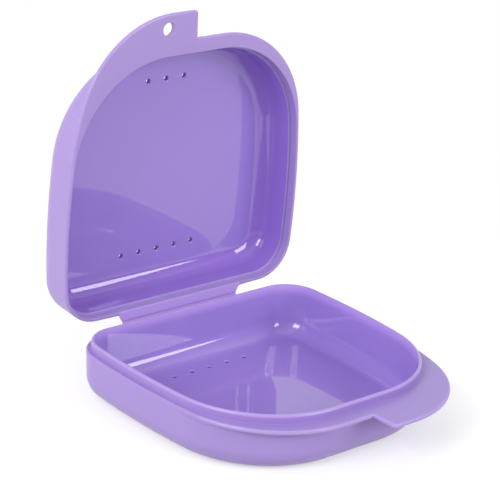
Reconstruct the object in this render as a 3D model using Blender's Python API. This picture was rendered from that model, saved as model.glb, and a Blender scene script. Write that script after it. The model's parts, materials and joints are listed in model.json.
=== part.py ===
"""Slim retainer case, moulded in one piece and standing open at a right angle.

A base shell and a lid shell share one rim plan. They join along the back through a short living
hinge: a leaf on each shell and a thin web between the leaves. The base carries a raised lip that
plugs into a rebate in the lid. Both shells have a narrow front flange that widens into a thumb tab
on one half, the right half on the base and the left half on the lid.

Frame: metres, +Z up, +X along the hinge, -Y towards the thumb tabs. The origin is the middle of the
base's underside. A plan point is (x, u), where u is the distance from the hinge axis towards the
tabs. A shell's section is drawn as spread, outwards from the rim plan, and depth, from the shell's
rim plane into the shell.
"""

import math
from collections import namedtuple

import bmesh
import bpy
from mathutils import Vector

MM = 0.001

# Rim plan: the line between the base's lip and the lid's rebate
RIM_WIDTH = 76.0 * MM
RIM_DEPTH = 67.8 * MM
BACK_CORNER_RADIUS = 9.7 * MM
FRONT_CORNER_RADIUS = 28.1 * MM
SIDE_FLARE = math.radians(3.75)
SIDE_TAPER = math.radians(5.35)

# Shell section
INNER_DEPTH = 11.7 * MM
FLOOR_THICKNESS = 1.4 * MM
RIM_LAND = 1.1 * MM
OUTER_FLOOR_RADIUS = 6.0 * MM
WALL_DRAFT = math.radians(3.5)

# Clearances: between the two rims when shut, and between separate pieces
SEAM_GAP = 0.3 * MM
LIP_GAP = 0.3 * MM
PIECE_GAP = 0.3 * MM

# Lip on the base and rebate in the lid
LIP_HEIGHT = 2.4 * MM
LIP_THICKNESS = 1.05 * MM
LIP_ROUND = 0.4 * MM
LIP_ROOT_ROUND = 0.25 * MM
LEDGE_WIDTH = 0.75 * MM
LEDGE_ROUND = 0.2 * MM
RIM_EDGE_ROUND = 0.2 * MM

# Front flange and thumb tabs: each reach is measured from the rim plan's front edge
FLANGE_REACH = 4.1 * MM
FLANGE_CORNER_RADIUS = 28.6 * MM
TAB_REACH = 11.5 * MM
TAB_START = math.radians(96.6)
TAB_NOSE_START = math.radians(108.4)
TAB_NOSE_RADIUS = 28.7 * MM
TAB_CORNER_RADIUS = 1.0 * MM
TAB_STEP_LEAN = 0.3 * MM
FLANGE_THICKNESS = 1.2 * MM
FLANGE_EDGE_ROUND = 0.3 * MM
FLANGE_UNDERSIDE_RISE = 0.3 * MM

# Vents in both floors, inset from the rim plan's back and front, and the hang hole in the lid's tab
VENT_DIAMETER = 1.2 * MM
VENT_MOUTH_DIAMETER = 1.8 * MM
VENT_MOUTH_DEPTH = 0.3 * MM
VENT_PITCH = 6.0 * MM
VENT_INSET = 9.9 * MM
BACK_VENT_COUNT = 5
FRONT_VENT_COUNT = 3
HANG_HOLE_DIAMETER = 3.6 * MM
HANG_HOLE_SIDE = 9.55 * MM
HANG_HOLE_REACH = 7.4 * MM

# Living hinge
HINGE_OFFSET = 3.55 * MM
LEAF_THICKNESS = 1.1 * MM
LEAF_EDGE_ROUND = 0.12 * MM
STRAP_WIDTH_AT_SHELL = 41.0 * MM
STRAP_WIDTH_AT_FOLD = 39.0 * MM
WEB_REACH = 0.5 * MM
WEB_THICKNESS = 0.35 * MM
OPEN_ANGLE = math.radians(90.0)

# How far a cutter runs past what it cuts, and the narrowest flange that is drawn
OVERRUN = 1.0 * MM
LEAST_FLANGE = 0.02 * MM

# Steps on the curves
BACK_CORNER_STEPS = 6
SIDE_STEPS = 4
FRONT_CORNER_STEPS = 12
TAB_CORNER_STEPS = 3
EDGE_STEPS = 2
LIP_STEPS = 3
FLOOR_ROUND_STEPS = 5
EDGE_CURVE_STEPS = 40
VENT_SIDES = 12
HANG_HOLE_SIDES = 24
WEB_STEPS = 6

SHELL_DEPTH = INNER_DEPTH + FLOOR_THICKNESS
HALF_SEAM = SEAM_GAP / 2
HALF_LIP_GAP = LIP_GAP / 2
REBATE_DEPTH = LIP_HEIGHT - SEAM_GAP + LIP_GAP
HINGE_Y = HINGE_OFFSET + RIM_DEPTH / 2
HINGE_Z = SHELL_DEPTH + HALF_SEAM

STRAIGHT_BACK = 0.0
STRAIGHT_FRONT = math.pi
SIDE_START = math.pi / 2 - SIDE_FLARE
SIDE_END = math.pi / 2 + SIDE_TAPER

# Angles in a shell's section: 0 points outwards, and depth grows downwards into the shell
DOWNWARDS = math.pi / 2
INWARDS = math.pi
UPWARDS = math.pi * 3 / 2
FULL_TURN = math.pi * 2

# Edges sharper than this stay crisp
CREASE_ANGLE = math.radians(35.0)

POLYPROPYLENE_COLOUR = (0.36, 0.25, 0.65, 1.0)
POLYPROPYLENE_ROUGHNESS = 0.28

Arc = namedtuple("Arc", "radius start end")
Station = namedtuple("Station", "x u heading flange")
Ring = namedtuple("Ring", "spread depth reach pull", defaults=(0.0, 0.0))


def rise(radius, start, end):
    """How far u moves along an arc that turns from one heading to another."""
    return radius * (math.cos(start) - math.cos(end))


def rim_arcs():
    """The rim's three arcs on one half, and half the length of its straight back."""
    corners = rise(BACK_CORNER_RADIUS, STRAIGHT_BACK, SIDE_START)
    corners += rise(FRONT_CORNER_RADIUS, SIDE_END, STRAIGHT_FRONT)
    side_radius = (RIM_DEPTH - corners) / rise(1.0, SIDE_START, SIDE_END)
    half_back = RIM_WIDTH / 2 - BACK_CORNER_RADIUS * math.sin(SIDE_START)
    half_back -= side_radius * (1 - math.sin(SIDE_START))
    arcs = [
        Arc(BACK_CORNER_RADIUS, STRAIGHT_BACK, SIDE_START),
        Arc(side_radius, SIDE_START, SIDE_END),
        Arc(FRONT_CORNER_RADIUS, SIDE_END, STRAIGHT_FRONT),
    ]
    return half_back, arcs


def shell_side_arcs():
    """Outer back corner and side of the shell at the rim, where the flange edge lies on them."""
    half_back, (back, side, _) = rim_arcs()
    back = Arc(back.radius + RIM_LAND, back.start, back.end)
    side = Arc(side.radius + RIM_LAND, side.start, side.end)
    return half_back, back, side


def flange_arcs():
    """Edge of the plain flange: the shell's side runs on a little before it turns to the front."""
    half_back, back, side = shell_side_arcs()
    left_over = RIM_DEPTH + FLANGE_REACH + RIM_LAND
    left_over -= rise(back.radius, back.start, back.end)
    left_over -= side.radius * math.cos(side.start) + FLANGE_CORNER_RADIUS
    turn = math.acos(left_over / (FLANGE_CORNER_RADIUS - side.radius))
    return half_back, [
        back,
        Arc(side.radius, side.start, turn),
        Arc(FLANGE_CORNER_RADIUS, turn, STRAIGHT_FRONT),
    ]


def tab_arcs():
    """Edge of the half with the thumb tab: a long shoulder leads into the tab's nose."""
    half_back, back, side = shell_side_arcs()
    nose = Arc(TAB_NOSE_RADIUS, TAB_NOSE_START, STRAIGHT_FRONT)
    left_over = RIM_DEPTH + TAB_REACH + RIM_LAND
    left_over -= rise(back.radius, back.start, back.end)
    left_over -= rise(side.radius, side.start, TAB_START) + rise(*nose)
    shoulder_radius = left_over / rise(1.0, TAB_START, TAB_NOSE_START)
    return half_back, [
        back,
        Arc(side.radius, side.start, TAB_START),
        Arc(shoulder_radius, TAB_START, TAB_NOSE_START),
        nose,
    ]


def run_arc(x, u, arc, steps):
    """Points along an arc that starts at (x, u), without the start itself."""
    centre_x = x - arc.radius * math.sin(arc.start)
    centre_u = u + arc.radius * math.cos(arc.start)
    points = []
    for step in range(1, steps + 1):
        heading = arc.start + (arc.end - arc.start) * step / steps
        across = centre_x + arc.radius * math.sin(heading)
        along = centre_u - arc.radius * math.cos(heading)
        points.append((across, along, heading))
    return points


def edge_curve(half_back, arcs, corner_radius):
    """Dense half outline of the flange edge, from the back round to the step on the middle line."""
    points = [(half_back, HINGE_OFFSET - RIM_LAND, STRAIGHT_BACK)]
    for arc in arcs:
        x, u, _ = points[-1]
        points += run_arc(x, u, arc, EDGE_CURVE_STEPS)
    step_side = TAB_STEP_LEAN / 2
    front = points[-1][1]
    if corner_radius:
        points.append((step_side + corner_radius, front, STRAIGHT_FRONT))
        corner = Arc(corner_radius, STRAIGHT_FRONT, STRAIGHT_FRONT + math.pi / 2)
        points += run_arc(step_side + corner_radius, front, corner, EDGE_CURVE_STEPS)
    points.append((-step_side, points[-1][1], STRAIGHT_FRONT))
    return [(x, u) for x, u, _ in points]


def reach_to_curve(x, u, heading, curve):
    """Distance from a rim point, straight outwards, to the flange edge."""
    tangent = (math.cos(heading), math.sin(heading))
    normal = (math.sin(heading), -math.cos(heading))
    best = RIM_LAND
    placed = []
    for px, pu in curve:
        dx, du = px - x, pu - u
        placed.append((dx * tangent[0] + du * tangent[1], dx * normal[0] + du * normal[1]))
    for (a, out_a), (b, out_b) in zip(placed, placed[1:]):
        if min(a, b) <= 0 <= max(a, b) and a != b:
            best = max(best, out_a + (out_b - out_a) * a / (a - b))
    return best


def half_rim():
    """Rim points of the right half, from the back corner to the step on the middle line."""
    half_back, arcs = rim_arcs()
    points = [(half_back, HINGE_OFFSET, STRAIGHT_BACK)]
    for arc, steps in zip(arcs, (BACK_CORNER_STEPS, SIDE_STEPS, FRONT_CORNER_STEPS)):
        x, u, _ = points[-1]
        points += run_arc(x, u, arc, steps)
    front = points[-1][1]
    for step in range(TAB_CORNER_STEPS + 1):
        turn = math.pi / 2 * step / TAB_CORNER_STEPS
        x = TAB_STEP_LEAN / 2 + TAB_CORNER_RADIUS * (1 - math.sin(turn))
        points.append((x, front, STRAIGHT_FRONT))
    return points


def rim_stations(tab_side):
    """Stations round the whole rim; tab_side is +1 for a tab on +X and -1 for one on -X."""
    curves = {
        tab_side: edge_curve(*tab_arcs(), TAB_CORNER_RADIUS),
        -tab_side: edge_curve(*flange_arcs(), 0.0),
    }
    halves = {}
    for side, curve in curves.items():
        stations = []
        for x, u, heading in half_rim():
            flange = reach_to_curve(x, u, heading, curve) - RIM_LAND
            if flange < LEAST_FLANGE:
                flange = 0.0
            stations.append(Station(side * x, u, side * heading, flange))
        halves[side] = stations
    return halves[1] + halves[-1][::-1]


def section_point(station, ring):
    """Plan point and depth of a ring where it crosses a station."""
    softening = ring.pull * min(FLANGE_EDGE_ROUND, station.flange / 2)
    out = ring.spread + ring.reach * station.flange - softening
    x = station.x + out * math.sin(station.heading)
    u = station.u - out * math.cos(station.heading)
    return x, u, ring.depth


def rounded(spread, depth, radius, start, end, steps):
    """Rings round a corner whose centre is at (spread, depth); angle 0 points outwards."""
    rings = []
    for step in range(steps + 1):
        angle = start + (end - start) * step / steps
        rings.append(Ring(spread + radius * math.cos(angle), depth + radius * math.sin(angle)))
    return rings


def floor_corner(face, floor, radius):
    """Corner between a drafted wall and a floor, from the floor up to the wall.

    face is the wall's spread at the rim plane and floor is the floor's depth.
    """
    centre_depth = floor - radius
    centre_spread = face - centre_depth * math.tan(WALL_DRAFT) - radius / math.cos(WALL_DRAFT)
    return rounded(centre_spread, centre_depth, radius, DOWNWARDS, WALL_DRAFT, FLOOR_ROUND_STEPS)


def drafted(face, depth):
    """Spread of a drafted wall at some depth."""
    return face - depth * math.tan(WALL_DRAFT)


def flange_rings():
    """Outer edge of the rim and flange, from the rim plane to the wall under the flange."""
    top = FLANGE_EDGE_ROUND
    low = FLANGE_THICKNESS - FLANGE_EDGE_ROUND
    rings = []
    for step in range(EDGE_STEPS + 1):
        turn = math.pi / 2 * step / EDGE_STEPS
        spread = RIM_LAND - top * (1 - math.sin(turn))
        rings.append(Ring(spread, top * (1 - math.cos(turn)), 1.0))
    for step in range(EDGE_STEPS + 1):
        turn = math.pi / 2 * step / EDGE_STEPS
        depth = low + FLANGE_EDGE_ROUND * math.sin(turn)
        rings.append(Ring(drafted(RIM_LAND, depth), depth, 1.0, 1 - math.cos(turn)))
    wall_top = FLANGE_THICKNESS + FLANGE_UNDERSIDE_RISE
    rings.append(Ring(drafted(RIM_LAND, wall_top), wall_top))
    return rings


def outer_rings():
    """Outside of a shell, from the rim plane down to the flat outer face."""
    corner = floor_corner(RIM_LAND, SHELL_DEPTH, OUTER_FLOOR_RADIUS)
    return flange_rings() + corner[::-1]


def inner_corner(face):
    """Corner between a shell's inner wall and its floor."""
    return floor_corner(face, INNER_DEPTH, OUTER_FLOOR_RADIUS - FLOOR_THICKNESS)


def base_rings():
    """The base's section, from the middle of its floor over the lip and back under."""
    outer_face = -HALF_LIP_GAP
    inner_face = outer_face - LIP_THICKNESS
    tip = -LIP_HEIGHT
    round_depth = tip + LIP_ROUND
    inner_tip = drafted(inner_face, round_depth) + LIP_ROUND
    outer_tip = outer_face - LIP_ROUND
    root = outer_face + LIP_ROOT_ROUND
    rings = inner_corner(inner_face)
    rings += rounded(inner_tip, round_depth, LIP_ROUND, INWARDS, UPWARDS, LIP_STEPS)
    rings += rounded(outer_tip, round_depth, LIP_ROUND, UPWARDS, FULL_TURN, LIP_STEPS)
    rings += rounded(root, -LIP_ROOT_ROUND, LIP_ROOT_ROUND, INWARDS, DOWNWARDS, EDGE_STEPS)
    return rings + outer_rings()


def lid_rings():
    """The lid's section, from the middle of its floor over the ledge to the rim and back."""
    rebate_face = HALF_LIP_GAP
    inner_face = rebate_face - LEDGE_WIDTH + REBATE_DEPTH * math.tan(WALL_DRAFT)
    ledge_edge = rebate_face - LEDGE_WIDTH + LEDGE_ROUND
    ledge_depth = REBATE_DEPTH + LEDGE_ROUND
    rim_edge = rebate_face + RIM_EDGE_ROUND
    rings = inner_corner(inner_face)
    rings += rounded(ledge_edge, ledge_depth, LEDGE_ROUND, INWARDS + WALL_DRAFT, UPWARDS, EDGE_STEPS)
    rings.append(Ring(rebate_face, REBATE_DEPTH))
    rings += rounded(rim_edge, RIM_EDGE_ROUND, RIM_EDGE_ROUND, INWARDS, UPWARDS, EDGE_STEPS)
    return rings + outer_rings()


def base_space(x, u, depth):
    """Base shell point in the world: its rim plane lies half a seam below the hinge axis."""
    return Vector((x, HINGE_Y - u, HINGE_Z - HALF_SEAM - depth))


def lid_space(x, u, depth):
    """Lid point about the hinge axis with the lid shut."""
    return Vector((x, -u, HALF_SEAM + depth))


def new_object(name, bm):
    """Turn a bmesh with outward faces into an object."""
    bmesh.ops.recalc_face_normals(bm, faces=bm.faces)
    mesh = bpy.data.meshes.new(name)
    bm.to_mesh(mesh)
    bm.free()
    thing = bpy.data.objects.new(name, mesh)
    bpy.context.scene.collection.objects.link(thing)
    return thing


def finish(thing, material):
    """Give a piece its material and smooth its round faces."""
    thing.data.materials.append(material)
    thing.data.shade_smooth()
    thing.data.set_sharp_from_angle(angle=CREASE_ANGLE)


def loft(bm, loops):
    """Skin a stack of closed loops and cap both ends."""
    for low, high in zip(loops, loops[1:]):
        for i, here in enumerate(low):
            j = (i + 1) % len(low)
            bm.faces.new((here, low[j], high[j], high[i]))
    bm.faces.new(loops[0][::-1])
    bm.faces.new(loops[-1])


def make_shell(name, tab_side, rings, to_space):
    """Loft a shell through its rings at every station."""
    bm = bmesh.new()
    stations = rim_stations(tab_side)
    loops = []
    for ring in rings:
        loops.append([bm.verts.new(to_space(*section_point(s, ring))) for s in stations])
    loft(bm, loops)
    return new_object(name, bm)


def add_turned_cutter(bm, x, u, profile, sides, to_space):
    """Add one turned cutter: profile is a list of (radius, depth)."""
    loops = []
    for radius, depth in profile:
        loop = []
        for i in range(sides):
            angle = 2 * math.pi * i / sides
            point = to_space(x + radius * math.cos(angle), u + radius * math.sin(angle), depth)
            loop.append(bm.verts.new(point))
        loops.append(loop)
    loft(bm, loops)


def add_vents(bm, to_space):
    """Cutters for a shell's two vent rows, each flared where it meets the inner floor."""
    mouth = VENT_MOUTH_DIAMETER / 2
    bore = VENT_DIAMETER / 2
    profile = [
        (mouth, INNER_DEPTH - OVERRUN),
        (mouth, INNER_DEPTH),
        (bore, INNER_DEPTH + VENT_MOUTH_DEPTH),
        (bore, SHELL_DEPTH + OVERRUN),
    ]
    rows = ((BACK_VENT_COUNT, VENT_INSET), (FRONT_VENT_COUNT, RIM_DEPTH - VENT_INSET))
    for count, inset in rows:
        for i in range(count):
            x = (i - (count - 1) / 2) * VENT_PITCH
            add_turned_cutter(bm, x, HINGE_OFFSET + inset, profile, VENT_SIDES, to_space)


def add_hang_hole(bm, tab_side, to_space):
    """Cutter for the hang hole through the tab."""
    radius = HANG_HOLE_DIAMETER / 2
    bottom = FLANGE_THICKNESS + FLANGE_UNDERSIDE_RISE + OVERRUN
    profile = [(radius, -OVERRUN), (radius, bottom)]
    x = tab_side * HANG_HOLE_SIDE
    u = HINGE_OFFSET + RIM_DEPTH + HANG_HOLE_REACH
    add_turned_cutter(bm, x, u, profile, HANG_HOLE_SIDES, to_space)


def cut(shell, cutter):
    """Take a cutter out of a shell with a Boolean that stays live."""
    cutter.display_type = "WIRE"
    cutter.hide_render = True
    modifier = shell.modifiers.new("holes", "BOOLEAN")
    modifier.operation = "DIFFERENCE"
    modifier.solver = "EXACT"
    modifier.object = cutter


def strap_half_width(u):
    """Half the strap's width at a distance from the fold; it narrows towards the fold."""
    share = u / (HINGE_OFFSET - RIM_LAND)
    return (STRAP_WIDTH_AT_FOLD + (STRAP_WIDTH_AT_SHELL - STRAP_WIDTH_AT_FOLD) * share) / 2


def make_leaf(name, to_space):
    """Hinge leaf: a short tapered plate, flush with its shell's rim plane."""
    near = WEB_REACH + PIECE_GAP
    far = HINGE_OFFSET - RIM_LAND - PIECE_GAP
    near_half = strap_half_width(near)
    far_half = strap_half_width(far)
    corners = ((-near_half, near), (near_half, near), (far_half, far), (-far_half, far))
    bm = bmesh.new()
    loops = []
    for depth in (0.0, LEAF_THICKNESS):
        loops.append([bm.verts.new(to_space(x, u, depth)) for x, u in corners])
    loft(bm, loops)
    leaf = new_object(name, bm)
    bevel = leaf.modifiers.new("edges", "BEVEL")
    bevel.width = LEAF_EDGE_ROUND
    bevel.segments = 1
    return leaf


def make_web(name):
    """Thin web that turns a quarter circle from the base's leaf up to the lid's."""
    inner = WEB_REACH + HALF_SEAM
    outer = inner + WEB_THICKNESS
    half = strap_half_width(0.0)
    centre_y = HINGE_Y - WEB_REACH
    centre_z = HINGE_Z + WEB_REACH
    bm = bmesh.new()
    loops = []
    for step in range(WEB_STEPS + 1):
        turn = OPEN_ANGLE * step / WEB_STEPS
        loop = []
        for x, radius in ((-half, inner), (half, inner), (half, outer), (-half, outer)):
            y = centre_y + radius * math.sin(turn)
            z = centre_z - radius * math.cos(turn)
            loop.append(bm.verts.new((x, y, z)))
        loops.append(loop)
    loft(bm, loops)
    return new_object(name, bm)


def plastic(name):
    """Glossy violet polypropylene."""
    material = bpy.data.materials.new(name)
    material.use_nodes = True
    shader = material.node_tree.nodes["Principled BSDF"]
    shader.inputs["Base Color"].default_value = POLYPROPYLENE_COLOUR
    shader.inputs["Roughness"].default_value = POLYPROPYLENE_ROUGHNESS
    shader.inputs["Metallic"].default_value = 0.0
    return material


def make_lid_pivot():
    """Empty on the hinge axis that holds the lid open."""
    pivot = bpy.data.objects.new("lid_pivot", None)
    pivot.location = (0.0, HINGE_Y, HINGE_Z)
    pivot.rotation_euler = (-OPEN_ANGLE, 0.0, 0.0)
    bpy.context.scene.collection.objects.link(pivot)
    return pivot


def build_base():
    """Base shell with its vents, its hinge leaf and the web."""
    shell = make_shell("base_shell", 1, base_rings(), base_space)
    bm = bmesh.new()
    add_vents(bm, base_space)
    cut(shell, new_object("base_cutter", bm))
    leaf = make_leaf("base_hinge_leaf", base_space)
    web = make_web("hinge_web")
    for piece in (shell, leaf, web):
        finish(piece, plastic(piece.name + "_plastic"))


def build_lid():
    """Lid shell with its vents and hang hole, and its hinge leaf, all held by the pivot."""
    pivot = make_lid_pivot()
    shell = make_shell("lid_shell", -1, lid_rings(), lid_space)
    bm = bmesh.new()
    add_vents(bm, lid_space)
    add_hang_hole(bm, -1, lid_space)
    cutter = new_object("lid_cutter", bm)
    cut(shell, cutter)
    leaf = make_leaf("lid_hinge_leaf", lid_space)
    for piece in (shell, leaf):
        finish(piece, plastic(piece.name + "_plastic"))
    for piece in (shell, leaf, cutter):
        piece.parent = pivot


def main():
    for thing in list(bpy.data.objects):
        bpy.data.objects.remove(thing, do_unlink=True)
    build_base()
    build_lid()


main()
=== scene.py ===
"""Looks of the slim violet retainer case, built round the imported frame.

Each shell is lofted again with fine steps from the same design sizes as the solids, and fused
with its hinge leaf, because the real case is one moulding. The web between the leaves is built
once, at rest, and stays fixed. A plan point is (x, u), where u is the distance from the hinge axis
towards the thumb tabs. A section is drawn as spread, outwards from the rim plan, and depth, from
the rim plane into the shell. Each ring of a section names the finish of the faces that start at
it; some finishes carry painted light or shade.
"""

import json
import math
from collections import namedtuple

import bmesh
import bpy
from mathutils import Color, Matrix, Vector


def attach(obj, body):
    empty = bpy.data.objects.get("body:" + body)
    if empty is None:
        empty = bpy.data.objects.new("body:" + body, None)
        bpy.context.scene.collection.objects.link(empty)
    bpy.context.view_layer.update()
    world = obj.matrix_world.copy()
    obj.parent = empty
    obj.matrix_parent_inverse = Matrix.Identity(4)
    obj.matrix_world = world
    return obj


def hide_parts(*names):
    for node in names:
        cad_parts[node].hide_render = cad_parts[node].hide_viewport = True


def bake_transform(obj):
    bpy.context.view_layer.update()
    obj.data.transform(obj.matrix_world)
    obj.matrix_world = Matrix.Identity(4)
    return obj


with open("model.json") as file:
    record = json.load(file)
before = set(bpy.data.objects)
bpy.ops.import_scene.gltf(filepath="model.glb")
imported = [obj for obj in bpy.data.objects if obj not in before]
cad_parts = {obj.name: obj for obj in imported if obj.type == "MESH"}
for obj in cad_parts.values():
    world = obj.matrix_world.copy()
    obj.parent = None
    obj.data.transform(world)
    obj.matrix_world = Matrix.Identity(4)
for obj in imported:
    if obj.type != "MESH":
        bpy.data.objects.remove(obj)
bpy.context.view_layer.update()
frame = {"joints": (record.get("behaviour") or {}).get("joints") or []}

MM = 0.001

# Rim plan: the line between the base's lip and the lid's rebate
RIM_WIDTH = 76.0 * MM
RIM_DEPTH = 67.8 * MM
BACK_CORNER_RADIUS = 9.7 * MM
FRONT_CORNER_RADIUS = 28.1 * MM
SIDE_FLARE = math.radians(3.75)
SIDE_TAPER = math.radians(5.35)

# Shell section
INNER_DEPTH = 11.7 * MM
FLOOR_THICKNESS = 1.4 * MM
RIM_LAND = 1.1 * MM
OUTER_FLOOR_RADIUS = 6.0 * MM
WALL_DRAFT = math.radians(3.5)
SEAM_GAP = 0.3 * MM
LIP_GAP = 0.3 * MM

# Lip on the base and rebate in the lid
LIP_HEIGHT = 2.4 * MM
LIP_THICKNESS = 1.05 * MM
LIP_OUTER_ROUND = 0.65 * MM
LIP_INNER_ROUND = 0.25 * MM
LIP_ROOT_ROUND = 0.15 * MM
LEDGE_WIDTH = 0.75 * MM
LEDGE_ROUND = 0.2 * MM
RIM_EDGE_ROUND = 0.2 * MM

# Front flange and thumb tabs
FLANGE_REACH = 4.1 * MM
FLANGE_CORNER_RADIUS = 28.6 * MM
TAB_REACH = 11.5 * MM
TAB_START = math.radians(96.6)
TAB_NOSE_START = math.radians(108.4)
TAB_NOSE_RADIUS = 28.7 * MM
TAB_CORNER_RADIUS = 1.0 * MM
TAB_STEP_LEAN = 0.3 * MM
FLANGE_THICKNESS = 1.2 * MM
FLANGE_EDGE_ROUND = 0.5 * MM
FLANGE_FILLET = 0.7 * MM

# A flange narrower than the first counts as none, and its round edge has the painted highlight from
# the second on
LEAST_FLANGE = 0.02 * MM
LEAST_HIGHLIT_FLANGE = 0.6 * MM

# Vents and hang hole
VENT_RADIUS = 0.6 * MM
VENT_MOUTH_ROUND = 0.35 * MM
VENT_EXIT_ROUND = 0.12 * MM
VENT_PITCH = 6.0 * MM
VENT_INSET = 9.9 * MM
BACK_VENT_COUNT = 5
FRONT_VENT_COUNT = 3
HANG_HOLE_RADIUS = 1.8 * MM
HANG_HOLE_SIDE = 9.55 * MM
HANG_HOLE_REACH = 7.4 * MM
HANG_HOLE_ROUND = 0.15 * MM

# Living hinge
HINGE_OFFSET = 3.55 * MM
STRAP_WIDTH_AT_SHELL = 41.0 * MM
STRAP_WIDTH_AT_FOLD = 39.0 * MM
STRAP_ROOT_ROUND = 0.4 * MM
STRAP_EDGE_ROUND = 0.12 * MM
WEB_REACH = 0.5 * MM
WEB_THICKNESS = 0.35 * MM
OPEN_ANGLE = math.radians(90.0)

# Width of the flat margin that keeps the shading of flat faces clean beside their round edges
MARGIN = 0.25 * MM
OVERRUN = 1.0 * MM

# Steps on the curves
STRAP_STEPS = 6
BACK_CORNER_STEPS = 14
SIDE_STEPS = 10
FRONT_CORNER_STEPS = 44
FRONT_STEPS = 4
TAB_CORNER_STEPS = 6
EDGE_STEPS = 5
FLOOR_ROUND_STEPS = 18
OUTLINE_STEPS = 160
VENT_SIDES = 24
HANG_HOLE_SIDES = 64
WEB_STEPS = 16
# Step up the round of the lid's floor where the painted shade of its walls starts
WALL_START_STEP = FLOOR_ROUND_STEPS // 4
SHARP_ANGLE = math.radians(40)

SHELL_DEPTH = INNER_DEPTH + FLOOR_THICKNESS
HALF_SEAM = SEAM_GAP / 2
HALF_LIP_GAP = LIP_GAP / 2
REBATE_DEPTH = LIP_HEIGHT - SEAM_GAP + LIP_GAP
HINGE = Vector(frame["joints"][0]["pos_m"])

# Headings along the rim, turning from straight across the back to straight across the front
BACK = 0.0
FRONT = math.pi
SIDE_START = math.pi / 2 - SIDE_FLARE
SIDE_END = math.pi / 2 + SIDE_TAPER

# Finishes of the faces, and the look that each has on each piece, in the same order
POLISHED, SHADED_WALL, SATIN, SHADED_BORE, HIGHLIT_EDGE, SHADED_LIP, LIT_STRAP, SHADED_SHOULDER = range(8)
BASE_LOOKS = ("tray", "wall", "satin", "shaded_bore", "edge", "lip", "strap", "shoulder")
LID_LOOKS = ("polished", "wall", "painted_light_lid_satin", "shaded_bore", "edge", "lip", "strap", "shoulder")
WEB_LOOKS = ("strap",)

# Least and most roughness of a finish
GLOSSY = (0.015, 0.035)
CRISP = (0.22, 0.28)
MATT = (0.3, 0.37)
ROUGH = (0.55, 0.65)

# Bump depths
POLISHED_WAVE = 0.008 * MM
SATIN_GRAIN = 0.002 * MM
STRAP_GRAIN = 0.001 * MM

PLASTIC_IOR = 1.49
POLISHED_IOR = 1.6
BORE_IOR = 1.3

# Share of the light that passes under the surface, how far it goes, and its reach in each colour
INNER_GLOW = 0.15
OUTER_GLOW = 0.05
GLOW_REACH = 1.5 * MM
GLOW_COLOUR = (1.0, 0.8, 1.2)

# Violet in sRGB, 0 to 255; the flow marks are darker by the mottle
FULL_LEVEL = 255
MOTTLE = (4, 4, 3)
Look = namedtuple("Look", "violet roughness wave grain ior glow thin", defaults=(None,))
LOOKS = {
    "polished": Look((154, 129, 204), GLOSSY, POLISHED_WAVE, 0.0, POLISHED_IOR, INNER_GLOW),
    # Painted light: the tray is painted paler towards the tip of its lip
    "tray": Look(
        (154, 129, 204), GLOSSY, POLISHED_WAVE, 0.0, POLISHED_IOR, INNER_GLOW, thin=(186, 156, 224)
    ),
    # Painted shade: the lid's walls are the polished violet painted darker and deeper
    "wall": Look((150, 117, 205), GLOSSY, POLISHED_WAVE, 0.0, POLISHED_IOR, INNER_GLOW),
    "satin": Look((157, 134, 198), MATT, 0.0, SATIN_GRAIN, PLASTIC_IOR, OUTER_GLOW),
    # Painted light: the lid's outside is the base's satin painted paler
    "painted_light_lid_satin": Look((162, 139, 200), MATT, 0.0, SATIN_GRAIN, PLASTIC_IOR, OUTER_GLOW),
    # Painted highlight: round edges are the violet painted paler
    "edge": Look((166, 143, 205), CRISP, 0.0, 0.0, PLASTIC_IOR, 0.0),
    # Painted shade: the lip's outer face is the violet painted darker
    "lip": Look((150, 123, 195), MATT, 0.0, SATIN_GRAIN, PLASTIC_IOR, 0.0),
    # Painted shade: the vent bores are the violet painted darker
    "shaded_bore": Look((118, 84, 172), ROUGH, 0.0, SATIN_GRAIN, BORE_IOR, INNER_GLOW),
    # Painted shade: the crease at the lip's root is the violet painted darker
    "shoulder": Look((150, 129, 193), MATT, 0.0, SATIN_GRAIN, PLASTIC_IOR, OUTER_GLOW),
    # Painted light: the hinge strap and web are the violet painted paler against the shade in the
    # fold
    "strap": Look((182, 154, 223), MATT, 0.0, STRAP_GRAIN, PLASTIC_IOR, 0.0),
}
# Painted light: the base's inner walls are painted paler towards the lip tip, for light let through
# the lip, from this far below the rim plane
PAINTED_LIGHT_START = 1.0 * MM

# Noises in the plastic: features per metre and levels of detail, and their useful middle
FLOW_MARKS = (45, 3)
GLOSS_MARKS = (400, 4)
WAVES = (70, 1)
GRAIN = (6000, 2)
MIDDLE_HALF = (0.25, 0.75)

# Table: its half width, how far it lies below the case, its shades, and where it fades to white
TABLE_HALF_WIDTH = 3.0
TABLE_DROP = 0.05 * MM
TABLE_GREY = 0.6
TABLE_GLOW = 0.44
FADE = (60 * MM, 200 * MM)
WHITE = (1, 1, 1, 1)

# Light from each side of the surround: axis, its end there, and level
SURROUND = (("Z", 1.0, 0.36), ("X", -1.0, 1.1), ("X", 1.0, 0.35), ("Y", 1.0, 0.95))
# Reflections show a room that darkens towards -Y: where it is darkest, and its level there
ROOM_END = -0.8
ROOM_LEVEL = 0.1

# Softboxes face the lit point; a compass angle turns from +Y towards +X
LIT_POINT = Vector((20, 35, 12)) * MM
Softbox = namedtuple("Softbox", "name compass elevation roll distance width height radiance")
SOFTBOXES = (
    Softbox(
        "front_softbox", compass=math.radians(159.1), elevation=math.radians(23.6),
        roll=math.radians(1.8), distance=1.173, width=0.72, height=0.448, radiance=7.8,
    ),
    Softbox(
        "left_softbox", compass=math.radians(-102.0), elevation=math.radians(32.0),
        roll=math.radians(-8.0), distance=1.2, width=0.5, height=0.5, radiance=8.5,
    ),
)

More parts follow.
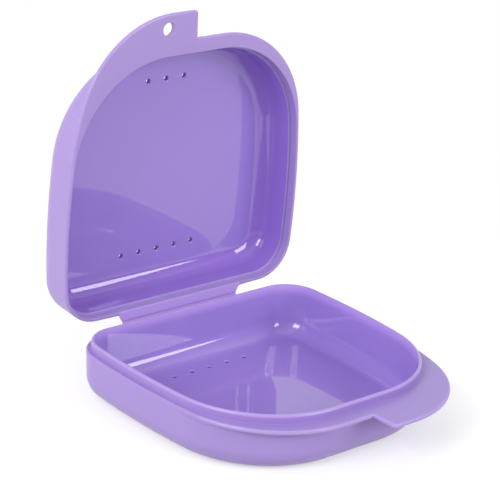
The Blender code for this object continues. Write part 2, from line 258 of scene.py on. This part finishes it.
# Camera, solved from the photograph
CAMERA_AZIMUTH = math.radians(-42.15)
CAMERA_ELEVATION = math.radians(21.30)
CAMERA_ROLL = math.radians(4.43)
CAMERA_POSITION = Vector((-325.5, -348.1, 228.3)) * MM
CAMERA_LENS = 146.34
CAMERA_SENSOR = 36.0

Arc = namedtuple("Arc", "radius start end")
Mark = namedtuple("Mark", "x u heading")
Station = namedtuple("Station", "rim rim_out edge edge_out flange round")
Ring = namedtuple(
    "Ring", "spread depth on_edge inset lift tuck fillet finish",
    defaults=(False, 0, 0, 0, 0, SATIN),
)


def rise(radius, start, end):
    """How far u moves along an arc that turns from one heading to another."""
    return radius * (math.cos(start) - math.cos(end))


def rim_arcs():
    """The rim's three arcs on one half, and half the length of its straight back."""
    corners = rise(BACK_CORNER_RADIUS, BACK, SIDE_START)
    corners += rise(FRONT_CORNER_RADIUS, SIDE_END, FRONT)
    side_radius = (RIM_DEPTH - corners) / rise(1.0, SIDE_START, SIDE_END)
    half_back = RIM_WIDTH / 2 - BACK_CORNER_RADIUS * math.sin(SIDE_START)
    half_back -= side_radius * (1 - math.sin(SIDE_START))
    return half_back, [
        Arc(BACK_CORNER_RADIUS, BACK, SIDE_START),
        Arc(side_radius, SIDE_START, SIDE_END),
        Arc(FRONT_CORNER_RADIUS, SIDE_END, FRONT),
    ]


def shell_side_arcs():
    """Outer back corner and side of the shell at the rim, where the flange edge lies on them."""
    half_back, (back, side, _) = rim_arcs()
    back = back._replace(radius=back.radius + RIM_LAND)
    return half_back, back, side._replace(radius=side.radius + RIM_LAND)


def flange_arcs():
    """Edge of the plain flange: the shell's side runs on a little before it turns to the front."""
    half_back, back, side = shell_side_arcs()
    left_over = RIM_DEPTH + FLANGE_REACH + RIM_LAND - rise(back.radius, back.start, back.end)
    left_over -= side.radius * math.cos(side.start) + FLANGE_CORNER_RADIUS
    turn = math.acos(left_over / (FLANGE_CORNER_RADIUS - side.radius))
    return half_back, [back, side._replace(end=turn), Arc(FLANGE_CORNER_RADIUS, turn, FRONT)]


def tab_arcs():
    """Edge of the half with the thumb tab: a long shoulder leads into the tab's nose."""
    half_back, back, side = shell_side_arcs()
    nose = Arc(TAB_NOSE_RADIUS, TAB_NOSE_START, FRONT)
    left_over = RIM_DEPTH + TAB_REACH + RIM_LAND - rise(back.radius, back.start, back.end)
    left_over -= rise(side.radius, side.start, TAB_START) + rise(*nose)
    shoulder = Arc(left_over / rise(1.0, TAB_START, TAB_NOSE_START), TAB_START, TAB_NOSE_START)
    return half_back, [back, side._replace(end=TAB_START), shoulder, nose]


def run_arc(mark, arc, steps):
    """Marks along an arc that starts at a mark, without the start itself."""
    centre_x = mark.x - arc.radius * math.sin(arc.start)
    centre_u = mark.u + arc.radius * math.cos(arc.start)
    marks = []
    for step in range(1, steps + 1):
        heading = arc.start + (arc.end - arc.start) * step / steps
        across = centre_x + arc.radius * math.sin(heading)
        marks.append(Mark(across, centre_u - arc.radius * math.cos(heading), heading))
    return marks


def outline(half_back, arcs):
    """Dense half outline of a flange edge, from the back corner to the middle of the front."""
    marks = [Mark(half_back, HINGE_OFFSET - RIM_LAND, BACK)]
    for arc in arcs:
        marks += run_arc(marks[-1], arc, OUTLINE_STEPS)
    return marks + [Mark(0.0, marks[-1].u, FRONT)]


def outwards(heading):
    return Vector((math.sin(heading), -math.cos(heading)))


def station_at(mark, edge_marks):
    """Station at a rim mark, with the place where its normal meets the flange edge."""
    rim = Vector((mark.x, mark.u))
    out = outwards(mark.heading)
    tangent = Vector((math.cos(mark.heading), math.sin(mark.heading)))
    reach, heading = RIM_LAND, mark.heading
    placed = [(Vector((m.x, m.u)) - rim, m.heading) for m in edge_marks]
    for (a, heading_a), (b, heading_b) in zip(placed, placed[1:]):
        along_a, along_b = a.dot(tangent), b.dot(tangent)
        if min(along_a, along_b) <= 0 <= max(along_a, along_b) and along_a != along_b:
            share = along_a / (along_a - along_b)
            met = a.dot(out) + (b.dot(out) - a.dot(out)) * share
            if met > reach + LEAST_FLANGE:
                reach, heading = met, heading_a + (heading_b - heading_a) * share
    edge = rim + out * reach
    return Station(rim, out, edge, outwards(heading), reach - RIM_LAND, FLANGE_EDGE_ROUND)


def strap_stations():
    """Stations on the straight back: the hinge leaf is a flange whose sides lean in to the fold."""
    wall = HINGE_OFFSET - RIM_LAND
    leaf = wall - WEB_REACH
    fold_x = STRAP_WIDTH_AT_FOLD / 2
    root_x = STRAP_WIDTH_AT_SHELL / 2
    lean = math.atan2(root_x - fold_x, leaf)
    side_out = Vector((math.cos(lean), math.sin(lean)))
    back_out = outwards(BACK)
    stations = []

    def add(x, u, out):
        rim = Vector((x, HINGE_OFFSET))
        stations.append(Station(rim, back_out, Vector((x, u)), out, wall - u, STRAP_EDGE_ROUND))

    for step in range(STRAP_STEPS):
        add(fold_x * step / STRAP_STEPS, WEB_REACH, back_out)
    add(fold_x, WEB_REACH, back_out + side_out)
    turn = math.pi / 2 - lean
    trim = STRAP_ROOT_ROUND * math.tan(turn / 2)
    centre = Vector((root_x + trim, wall - STRAP_ROOT_ROUND))
    for step in range(EDGE_STEPS + 1):
        angle = lean + turn * step / EDGE_STEPS
        out = Vector((math.cos(angle), math.sin(angle)))
        at = centre - out * STRAP_ROOT_ROUND
        at.y = centre.y + STRAP_ROOT_ROUND * math.sin(angle)
        add(at.x, min(at.y, wall), Vector((out.x, -out.y)) if step < EDGE_STEPS else back_out)
    return stations


def front_stations(edge_u):
    """Stations on the straight front, from the front corner to the step, without its ends."""
    half_back, arcs = rim_arcs()
    marks = [Mark(half_back, HINGE_OFFSET, BACK)]
    for arc in arcs:
        marks.append(run_arc(marks[-1], arc, 1)[0])
    start, stop = marks[-1].x, TAB_STEP_LEAN / 2 + TAB_CORNER_RADIUS
    stations = []
    for step in range(1, FRONT_STEPS + 1):
        x = start + (stop - start) * step / FRONT_STEPS
        rim = Vector((x, marks[-1].u))
        out = outwards(FRONT)
        flange = edge_u - marks[-1].u - RIM_LAND
        stations.append(Station(rim, out, Vector((x, edge_u)), out, flange, FLANGE_EDGE_ROUND))
    return stations


def tab_corner_stations(rim_u, tab_u, flange_u):
    """Stations round the tab's corner and down its side to where the plain flange starts."""
    half_lean = TAB_STEP_LEAN / 2
    inset = FLANGE_EDGE_ROUND + MARGIN
    centre = Vector((half_lean + TAB_CORNER_RADIUS, tab_u - TAB_CORNER_RADIUS))
    front_out = outwards(FRONT)
    stations = []

    def add(edge, out):
        rim = Vector((edge.x - out.x * inset, rim_u))
        flange = edge.y - rim_u - RIM_LAND
        stations.append(Station(rim, front_out, edge, out, flange, FLANGE_EDGE_ROUND))

    for step in range(1, TAB_CORNER_STEPS + 1):
        angle = math.pi / 2 * step / TAB_CORNER_STEPS
        out = Vector((-math.sin(angle), math.cos(angle)))
        add(centre + out * TAB_CORNER_RADIUS, out)
    add(Vector((-half_lean, flange_u)), Vector((-1, 1)))
    return stations


def half_stations(edge_marks):
    """Stations on one half, from the middle of the hinge strap to the front corner's end."""
    half_back, arcs = rim_arcs()
    marks = [Mark(half_back, HINGE_OFFSET, BACK)]
    for arc, steps in zip(arcs, (BACK_CORNER_STEPS, SIDE_STEPS, FRONT_CORNER_STEPS)):
        marks += run_arc(marks[-1], arc, steps)
    return strap_stations() + [station_at(mark, edge_marks) for mark in marks]


def mirrored(station):
    flip = Vector((-1, 1))
    return station._replace(
        rim=station.rim * flip, rim_out=station.rim_out * flip,
        edge=station.edge * flip, edge_out=station.edge_out * flip,
    )


def all_stations():
    """Stations round the whole rim of a shell whose tab is on +X."""
    rim_u = HINGE_OFFSET + RIM_DEPTH
    flange_u = rim_u + FLANGE_REACH
    tab_u = rim_u + TAB_REACH
    right = half_stations(outline(*tab_arcs())) + front_stations(tab_u)
    right += tab_corner_stations(rim_u, tab_u, flange_u)
    left = half_stations(outline(*flange_arcs())) + front_stations(flange_u)
    return right + [mirrored(s) for s in left[:0:-1]]


def ring_point(station, ring):
    """Plan point and depth of a ring where it crosses a station."""
    depth = ring.depth + ring.lift * station.round
    under = min(station.round, station.flange / 2)
    if ring.on_edge:
        back = ring.inset * station.round + ring.tuck * under + depth * math.tan(WALL_DRAFT)
        point = station.edge - station.edge_out * back
    else:
        fillet = min(FLANGE_FILLET, station.flange / 2)
        point = station.rim + station.rim_out * (ring.spread + ring.fillet * fillet)
    return point.x, point.y, depth


def rounded(spread, depth, radius, start, end, steps):
    """Rings round a corner with its centre at (spread, depth); angle 0 points outwards."""
    rings = []
    for step in range(steps + 1):
        angle = start + (end - start) * step / steps
        rings.append(Ring(spread + radius * math.cos(angle), depth + radius * math.sin(angle)))
    return rings


def drafted(face, depth):
    """Spread of a drafted wall at some depth."""
    return face - depth * math.tan(WALL_DRAFT)


def floor_corner(face, floor, radius):
    """Corner between a floor and a drafted wall, with a flat margin on either side of it."""
    centre_depth = floor - radius
    centre_spread = face - centre_depth * math.tan(WALL_DRAFT) - radius / math.cos(WALL_DRAFT)
    rings = [Ring(centre_spread - MARGIN, floor)]
    rings += rounded(
        centre_spread, centre_depth, radius, math.pi / 2, WALL_DRAFT, FLOOR_ROUND_STEPS
    )
    wall_depth = rings[-1].depth - MARGIN
    return rings + [Ring(drafted(face, wall_depth), wall_depth)]


def finished(rings, finish):
    """The rings with another finish on the faces that start at them."""
    return [ring._replace(finish=finish) for ring in rings]


def flange_rings():
    """From the top of the flange over its edge to the wall below it."""
    edge = []
    for step in range(EDGE_STEPS + 1):
        turn = math.pi / 2 * step / EDGE_STEPS
        edge.append(Ring(0, 0, True, inset=1 - math.sin(turn), lift=1 - math.cos(turn)))
    for step in range(EDGE_STEPS + 1):
        turn = math.pi / 2 * step / EDGE_STEPS
        depth = FLANGE_THICKNESS - FLANGE_EDGE_ROUND * (1 - math.sin(turn))
        edge.append(Ring(0, depth, True, tuck=1 - math.cos(turn)))
    rings = [Ring(0, 0, True, inset=1 + MARGIN / FLANGE_EDGE_ROUND)]
    # The flange's round edge has the painted highlight
    rings += finished(edge[:-1], HIGHLIT_EDGE) + edge[-1:]
    for step in range(EDGE_STEPS + 1):
        turn = math.pi / 2 * step / EDGE_STEPS
        depth = FLANGE_THICKNESS + MARGIN + FLANGE_FILLET * (1 - math.cos(turn))
        rings.append(Ring(drafted(RIM_LAND, depth), depth, fillet=1 - math.sin(turn)))
    return rings


def outer_rings():
    """Outside of a shell, from the flange down to the flat outer face."""
    return flange_rings() + floor_corner(RIM_LAND, SHELL_DEPTH, OUTER_FLOOR_RADIUS)[::-1]


def base_rings():
    """Rings of the base, from its inner floor over the lip to the outer face."""
    outer_face = -HALF_LIP_GAP
    inner_face = outer_face - LIP_THICKNESS
    inner_depth = LIP_INNER_ROUND - LIP_HEIGHT
    outer_depth = LIP_OUTER_ROUND - LIP_HEIGHT
    inner_tip = drafted(inner_face, inner_depth) + LIP_INNER_ROUND
    outer_tip = outer_face - LIP_OUTER_ROUND
    root = outer_face + LIP_ROOT_ROUND
    quarter = math.pi / 2
    inner = floor_corner(inner_face, INNER_DEPTH, OUTER_FLOOR_RADIUS - FLOOR_THICKNESS)
    inner.append(Ring(drafted(inner_face, inner_depth + MARGIN), inner_depth + MARGIN))
    tip = rounded(inner_tip, inner_depth, LIP_INNER_ROUND, 2 * quarter, 3 * quarter, EDGE_STEPS)
    tip += rounded(outer_tip, outer_depth, LIP_OUTER_ROUND, 3 * quarter, 4 * quarter, EDGE_STEPS)
    face = tip[-1:] + [Ring(outer_face, -LIP_ROOT_ROUND - MARGIN)]
    face += rounded(root, -LIP_ROOT_ROUND, LIP_ROOT_ROUND, 2 * quarter, quarter, EDGE_STEPS)
    outer = outer_rings()
    # Painted shade on the crease at the lip's root and the flange beside it
    outer = finished(face[-1:] + outer[:1], SHADED_SHOULDER) + outer[1:]
    # The lip's tip has the painted highlight and its outer face the painted shade
    return finished(inner, POLISHED) + finished(tip[:-1], HIGHLIT_EDGE) + finished(face[:-1], SHADED_LIP) + outer


def lid_rings():
    """Rings of the lid, from its inner floor over the ledge to the outer face."""
    rebate = HALF_LIP_GAP
    inner_face = rebate - LEDGE_WIDTH + REBATE_DEPTH * math.tan(WALL_DRAFT)
    ledge_edge = rebate - LEDGE_WIDTH + LEDGE_ROUND
    rim_edge = rebate + RIM_EDGE_ROUND
    ledge_turn = math.pi + WALL_DRAFT
    top = math.pi * 3 / 2
    inner = floor_corner(inner_face, INNER_DEPTH, OUTER_FLOOR_RADIUS - FLOOR_THICKNESS)
    edge_depth = REBATE_DEPTH + LEDGE_ROUND
    inner.append(Ring(drafted(inner_face, edge_depth + MARGIN), edge_depth + MARGIN))
    outer = rounded(ledge_edge, edge_depth, LEDGE_ROUND, ledge_turn, top, EDGE_STEPS)
    outer.append(Ring(rebate, REBATE_DEPTH))
    outer += rounded(rim_edge, RIM_EDGE_ROUND, RIM_EDGE_ROUND, math.pi, top, EDGE_STEPS)
    # The lid's walls, from this step up the floor's round, have the painted shade
    floor = finished(inner[:WALL_START_STEP], POLISHED)
    return floor + finished(inner[WALL_START_STEP:], SHADED_WALL) + outer + outer_rings()


def base_space(x, u, depth):
    """Base point in the world: its rim plane lies half a seam below the hinge axis."""
    return Vector((x, HINGE.y - u, HINGE.z - HALF_SEAM - depth))


def lid_space(x, u, depth):
    """Lid point in the world, standing open; the lid's tab is on -X."""
    return Vector((-x, HINGE.y + HALF_SEAM + depth, HINGE.z + u))


def finish_at(station, ring):
    """Finish of the face that starts where a ring crosses a station."""
    on_strap = station.round == STRAP_EDGE_ROUND and station.flange > LEAST_FLANGE
    # The hinge leaves get the strap's paler painted light
    if on_strap and -LIP_ROOT_ROUND <= ring.depth <= FLANGE_THICKNESS:
        return LIT_STRAP
    # Narrow flanges keep plain satin instead of the painted highlight on their edge
    return SATIN if ring.on_edge and station.flange < LEAST_HIGHLIT_FLANGE else ring.finish


def skin(bm, low, high, finishes):
    """Faces between two closed loops, with the finish of each."""
    for i, finish in enumerate(finishes):
        j = (i + 1) % len(low)
        face = bm.faces.new((low[i], low[j], high[j], high[i]))
        face.material_index = finish


def circle(bm, x, u, radius, depth, sides, to_space):
    """Closed loop of points round a hole."""
    points = []
    for i in range(sides):
        angle = 2 * math.pi * i / sides
        place = to_space(x + radius * math.cos(angle), u + radius * math.sin(angle), depth)
        points.append(bm.verts.new(place))
    return points


def vent_places():
    """Plan points of the two vent rows."""
    rows = ((BACK_VENT_COUNT, VENT_INSET), (FRONT_VENT_COUNT, RIM_DEPTH - VENT_INSET))
    return [
        ((i - (count - 1) / 2) * VENT_PITCH, HINGE_OFFSET + inset)
        for count, inset in rows for i in range(count)
    ]


def vent_profile():
    """Radius and depth down a vent, from its soft mouth in the inner floor to the outer face."""
    profile = [(VENT_RADIUS + VENT_MOUTH_ROUND + MARGIN, INNER_DEPTH)]
    for step in range(EDGE_STEPS + 1):
        turn = math.pi / 2 * step / EDGE_STEPS
        radius = VENT_RADIUS + VENT_MOUTH_ROUND * (1 - math.sin(turn))
        profile.append((radius, INNER_DEPTH + VENT_MOUTH_ROUND * (1 - math.cos(turn))))
    profile.append((VENT_RADIUS, SHELL_DEPTH - VENT_EXIT_ROUND))
    profile.append((VENT_RADIUS + VENT_EXIT_ROUND, SHELL_DEPTH))
    profile.append((VENT_RADIUS + VENT_EXIT_ROUND + MARGIN, SHELL_DEPTH))
    return profile


def fill_floor(bm, border, holes, material_index):
    """Flat face inside a border loop, open at the holes."""
    edges = []
    for loop in [border] + holes:
        for i, here in enumerate(loop):
            there = loop[(i + 1) % len(loop)]
            edges.append(bm.edges.get((here, there)) or bm.edges.new((here, there)))
    filled = bmesh.ops.triangle_fill(bm, use_beauty=True, use_dissolve=False, edges=edges)
    for item in filled["geom"]:
        if isinstance(item, bmesh.types.BMFace):
            item.material_index = material_index


def make_shell(name, rings, to_space):
    """Loft a shell round its stations, with its vents."""
    stations = all_stations()
    bm = bmesh.new()
    loops = []
    for ring in rings:
        loops.append([bm.verts.new(to_space(*ring_point(s, ring))) for s in stations])
    for ring, low, high in zip(rings, loops, loops[1:]):
        skin(bm, low, high, [finish_at(station, ring) for station in stations])
    mouths, exits = [], []
    for x, u in vent_places():
        vent = [
            circle(bm, x, u, radius, depth, VENT_SIDES, to_space)
            for radius, depth in vent_profile()
        ]
        for i, (low, high) in enumerate(zip(vent, vent[1:])):
            # Past the mouth's round, the vent bores get the painted shade
            skin(bm, low, high, [POLISHED if i <= EDGE_STEPS else SHADED_BORE] * VENT_SIDES)
        mouths.append(vent[0])
        exits.append(vent[-1])
    fill_floor(bm, loops[0], mouths, POLISHED)
    fill_floor(bm, loops[-1], exits, SATIN)
    return new_piece(name, bm)


def new_piece(name, bm):
    """Turn a closed bmesh into an object with outward faces."""
    bmesh.ops.recalc_face_normals(bm, faces=bm.faces)
    mesh = bpy.data.meshes.new(name)
    bm.to_mesh(mesh)
    bm.free()
    piece = bpy.data.objects.new(name, mesh)
    bpy.context.scene.collection.objects.link(piece)
    return piece


def shade(piece):
    """Smooth shading that keeps steep edges crisp."""
    piece.data.shade_smooth()
    piece.data.set_sharp_from_angle(angle=SHARP_ANGLE)


def cut_hang_hole(lid):
    """Hole through the lid's tab, with a small chamfer on both faces."""
    bottom = FLANGE_THICKNESS + MARGIN
    wide = HANG_HOLE_RADIUS + HANG_HOLE_ROUND + OVERRUN
    profile = [
        (wide, -OVERRUN),
        (HANG_HOLE_RADIUS, HANG_HOLE_ROUND),
        (HANG_HOLE_RADIUS, bottom - HANG_HOLE_ROUND),
        (wide, bottom + OVERRUN),
    ]
    centre_u = HINGE_OFFSET + RIM_DEPTH + HANG_HOLE_REACH
    bm = bmesh.new()
    loops = []
    for radius, depth in profile:
        loop = circle(bm, HANG_HOLE_SIDE, centre_u, radius, depth, HANG_HOLE_SIDES, lid_space)
        loops.append(loop)
    for low, high in zip(loops, loops[1:]):
        skin(bm, low, high, [SATIN] * HANG_HOLE_SIDES)
    bm.faces.new(loops[0])
    bm.faces.new(loops[-1])
    cutter = new_piece("hang_hole_cutter", bm)
    modifier = lid.modifiers.new("hang_hole", "BOOLEAN")
    modifier.operation = "DIFFERENCE"
    modifier.solver = "EXACT"
    modifier.object = cutter
    depsgraph = bpy.context.evaluated_depsgraph_get()
    cut = bpy.data.meshes.new_from_object(lid.evaluated_get(depsgraph))
    lid.modifiers.clear()
    lid.data = cut
    bpy.data.objects.remove(cutter)


def make_web():
    """Thin web of the living hinge; at rest it turns a quarter circle from leaf to leaf."""
    inner = WEB_REACH + HALF_SEAM
    outer = inner + WEB_THICKNESS
    half = STRAP_WIDTH_AT_FOLD / 2
    centre = Vector((0, HINGE.y - WEB_REACH, HINGE.z + WEB_REACH))
    bm = bmesh.new()
    loops = []
    for step in range(WEB_STEPS + 1):
        turn = OPEN_ANGLE * step / WEB_STEPS
        spoke = Vector((0, math.sin(turn), -math.cos(turn)))
        corners = ((-half, inner), (half, inner), (half, outer), (-half, outer))
        loops.append([
            bm.verts.new(centre + spoke * radius + Vector((x, 0, 0))) for x, radius in corners
        ])
    for low, high in zip(loops, loops[1:]):
        skin(bm, low, high, [WEB_LOOKS.index("strap")] * len(low))
    bm.faces.new(loops[0])
    bm.faces.new(loops[-1])
    return new_piece("hinge_web_moulding", bm)


def new_material(name):
    material = bpy.data.materials.new(name)
    material.use_nodes = True
    return material, material.node_tree


def object_place(tree):
    return tree.nodes.new("ShaderNodeTexCoord").outputs["Object"]


def noise(tree, scale, detail):
    """Noise in object coordinates; scale is in features per metre."""
    texture = tree.nodes.new("ShaderNodeTexNoise")
    texture.inputs["Scale"].default_value = scale
    texture.inputs["Detail"].default_value = detail
    tree.links.new(object_place(tree), texture.inputs["Vector"])
    return texture.outputs["Fac"]


def ranged(tree, value, source, target=(0.0, 1.0), smooth=False):
    """The value, moved from one range to another."""
    node = tree.nodes.new("ShaderNodeMapRange")
    if smooth:
        node.interpolation_type = "SMOOTHSTEP"
    for name, end in zip(("From Min", "From Max", "To Min", "To Max"), (*source, *target)):
        node.inputs[name].default_value = end
    tree.links.new(value, node.inputs["Value"])
    return node.outputs["Result"]


def combined(tree, operation, first, second):
    node = tree.nodes.new("ShaderNodeMath")
    node.operation = operation
    tree.links.new(first, node.inputs[0])
    tree.links.new(second, node.inputs[1])
    return node.outputs["Value"]


def mixed(tree, kind, factor, low, high):
    """From low to high as the factor goes from 0 to 1; low and high can be constants."""
    node = tree.nodes.new("ShaderNodeMix")
    node.data_type = kind
    for name, value in (("Factor", factor), ("A", low), ("B", high)):
        if isinstance(value, bpy.types.NodeSocket):
            tree.links.new(value, node.inputs[name])
        else:
            node.inputs[name].default_value = value
    return node.outputs["Result"]


def mixed_shader(tree, factor, low, high):
    node = tree.nodes.new("ShaderNodeMixShader")
    for socket, value in zip(node.inputs, (factor, low, high)):
        tree.links.new(value, socket)
    return node.outputs["Shader"]


def emission(tree, strength):
    node = tree.nodes.new("ShaderNodeEmission")
    node.inputs["Color"].default_value = WHITE
    node.inputs["Strength"].default_value = strength
    return node.outputs["Emission"]


def bump(tree, height, distance, normal=None):
    node = tree.nodes.new("ShaderNodeBump")
    node.inputs["Strength"].default_value = 1.0
    node.inputs["Distance"].default_value = distance
    tree.links.new(height, node.inputs["Height"])
    if normal:
        tree.links.new(normal, node.inputs["Normal"])
    return node.outputs["Normal"]


def seen_directly(tree):
    """1 for camera, glossy and transmission rays, and 0 for rays that carry light."""
    rays = tree.nodes.new("ShaderNodeLightPath").outputs
    seen = combined(tree, "MAXIMUM", rays["Is Camera Ray"], rays["Is Glossy Ray"])
    return combined(tree, "MAXIMUM", seen, rays["Is Transmission Ray"])


def painted_lip_light(tree):
    """Mask of the painted light on the tray: 0 inside the base, and up to 1 at the tip of its lip.
    """
    axes = tree.nodes.new("ShaderNodeSeparateXYZ")
    tree.links.new(object_place(tree), axes.inputs["Vector"])
    rim = HINGE.z - HALF_SEAM
    return ranged(tree, axes.outputs["Z"], (rim - PAINTED_LIGHT_START, rim + LIP_HEIGHT), smooth=True)


def scene_linear(colour):
    """Scene-linear RGBA of an sRGB colour given in 0 to 255."""
    srgb = Color([level / FULL_LEVEL for level in colour])
    return (*srgb.from_srgb_to_scene_linear(), 1)


def polypropylene(name, look):
    """Violet polypropylene with faint flow marks."""
    material, tree = new_material(f"{name}_polypropylene")
    shader = tree.nodes["Principled BSDF"]
    marks = [level - darker for level, darker in zip(look.violet, MOTTLE)]
    colour = mixed(
        tree, "RGBA", noise(tree, *FLOW_MARKS), scene_linear(marks), scene_linear(look.violet)
    )
    # Painted light: the colour pales towards the lip's tip
    if look.thin:
        colour = mixed(tree, "RGBA", painted_lip_light(tree), colour, scene_linear(look.thin))
    tree.links.new(colour, shader.inputs["Base Color"])
    roughness = ranged(tree, noise(tree, *GLOSS_MARKS), MIDDLE_HALF, look.roughness)
    tree.links.new(roughness, shader.inputs["Roughness"])
    waves = bump(tree, noise(tree, *WAVES), look.wave)
    tree.links.new(bump(tree, noise(tree, *GRAIN), look.grain, waves), shader.inputs["Normal"])
    shader.inputs["IOR"].default_value = look.ior
    shader.inputs["Subsurface Weight"].default_value = look.glow
    shader.inputs["Subsurface Radius"].default_value = GLOW_COLOUR
    shader.inputs["Subsurface Scale"].default_value = GLOW_REACH
    return material


def make_table():
    """Pale table that keeps the object's shadow and fades to white away from it."""
    bm = bmesh.new()
    bmesh.ops.create_grid(bm, x_segments=1, y_segments=1, size=TABLE_HALF_WIDTH)
    table = new_piece("table", bm)
    table.location.z = -TABLE_DROP
    material, tree = new_material("table_white")
    nodes, links = tree.nodes, tree.links
    nodes.remove(nodes["Principled BSDF"])
    diffuse = nodes.new("ShaderNodeBsdfDiffuse")
    diffuse.inputs["Color"].default_value = (TABLE_GREY, TABLE_GREY, TABLE_GREY, 1)
    glowing = nodes.new("ShaderNodeAddShader")
    links.new(diffuse.outputs["BSDF"], glowing.inputs[0])
    links.new(emission(tree, TABLE_GLOW), glowing.inputs[1])
    distance = nodes.new("ShaderNodeVectorMath")
    distance.operation = "LENGTH"
    links.new(object_place(tree), distance.inputs[0])
    fade = ranged(tree, distance.outputs["Value"], FADE, smooth=True)
    seen = mixed_shader(tree, fade, glowing.outputs["Shader"], emission(tree, 1.0))
    surface = mixed_shader(tree, seen_directly(tree), diffuse.outputs["BSDF"], seen)
    links.new(surface, nodes["Material Output"].inputs["Surface"])
    table.data.materials.append(material)


def make_world():
    """Soft studio surround: it lights from above and around, is white behind the case, and shows
    a darker room in reflections of what lies in front of it."""
    world = bpy.data.worlds.new("studio")
    bpy.context.scene.world = world
    world.use_nodes = True
    tree = world.node_tree
    background = tree.nodes["Background"]
    background.inputs["Color"].default_value = WHITE
    direction = tree.nodes.new("ShaderNodeTexCoord").outputs["Generated"]
    axes = tree.nodes.new("ShaderNodeSeparateXYZ")
    tree.links.new(direction, axes.inputs["Vector"])
    light = None
    for axis, end, level in SURROUND:
        share = ranged(tree, axes.outputs[axis], (0.0, end), (0.0, level))
        light = combined(tree, "ADD", light, share) if light else share
    room = ranged(tree, axes.outputs["Y"], (ROOM_END, 0.0), (ROOM_LEVEL, 1.0))
    camera_ray = tree.nodes.new("ShaderNodeLightPath").outputs["Is Camera Ray"]
    seen = mixed(tree, "FLOAT", camera_ray, room, 1.0)
    strength = mixed(tree, "FLOAT", seen_directly(tree), light, seen)
    tree.links.new(strength, background.inputs["Strength"])


def aimed(place, side, towards, roll):
    """Matrix of a lamp or camera at a place, looking away from the direction towards it."""
    turn = Matrix((side, towards.cross(side), towards)).transposed()
    return Matrix.Translation(place) @ (turn @ Matrix.Rotation(roll, 3, "Z")).to_4x4()


def add_softbox(box):
    """Area light that faces the lit point."""
    data = bpy.data.lights.new(box.name, "AREA")
    data.shape = "RECTANGLE"
    data.size = box.width
    data.size_y = box.height
    data.energy = box.radiance * math.pi * box.width * box.height
    lamp = bpy.data.objects.new(box.name, data)
    level = math.cos(box.elevation)
    towards = Vector((
        math.sin(box.compass) * level, math.cos(box.compass) * level, math.sin(box.elevation),
    ))
    side = Vector((0, 0, 1)).cross(towards).normalized()
    lamp.matrix_world = aimed(LIT_POINT + towards * box.distance, side, towards, box.roll)
    bpy.context.scene.collection.objects.link(lamp)


def make_camera():
    """Camera at the photograph's place and angle."""
    level = math.cos(CAMERA_ELEVATION)
    forward = Vector((
        -math.sin(CAMERA_AZIMUTH) * level,
        math.cos(CAMERA_AZIMUTH) * level,
        -math.sin(CAMERA_ELEVATION),
    ))
    right = Vector((math.cos(CAMERA_AZIMUTH), math.sin(CAMERA_AZIMUTH), 0))
    data = bpy.data.cameras.new("camera")
    data.lens = CAMERA_LENS
    data.sensor_width = CAMERA_SENSOR
    camera = bpy.data.objects.new("camera", data)
    camera.matrix_world = aimed(CAMERA_POSITION, right, -forward, CAMERA_ROLL)
    bpy.context.scene.collection.objects.link(camera)
    bpy.context.scene.camera = camera


def build_case():
    """The two mouldings, riding on their bodies, and the web, fixed where it is built."""
    base = make_shell("base_moulding", base_rings(), base_space)
    lid = make_shell("lid_moulding", lid_rings(), lid_space)
    cut_hang_hole(lid)
    web = make_web()
    plastics = {name: polypropylene(name, look) for name, look in LOOKS.items()}
    for piece, looks in ((base, BASE_LOOKS), (lid, LID_LOOKS), (web, WEB_LOOKS)):
        for look in looks:
            piece.data.materials.append(plastics[look])
        shade(piece)
    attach(base, "base")
    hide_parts("base_shell", "base_hinge_leaf")
    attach(lid, "lid")
    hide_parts("lid_shell", "lid_hinge_leaf")
    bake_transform(web)
    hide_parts("hinge_web")


build_case()
make_table()
make_world()
for softbox in SOFTBOXES:
    add_softbox(softbox)
make_camera()
bpy.context.scene.view_settings.view_transform = "Standard"
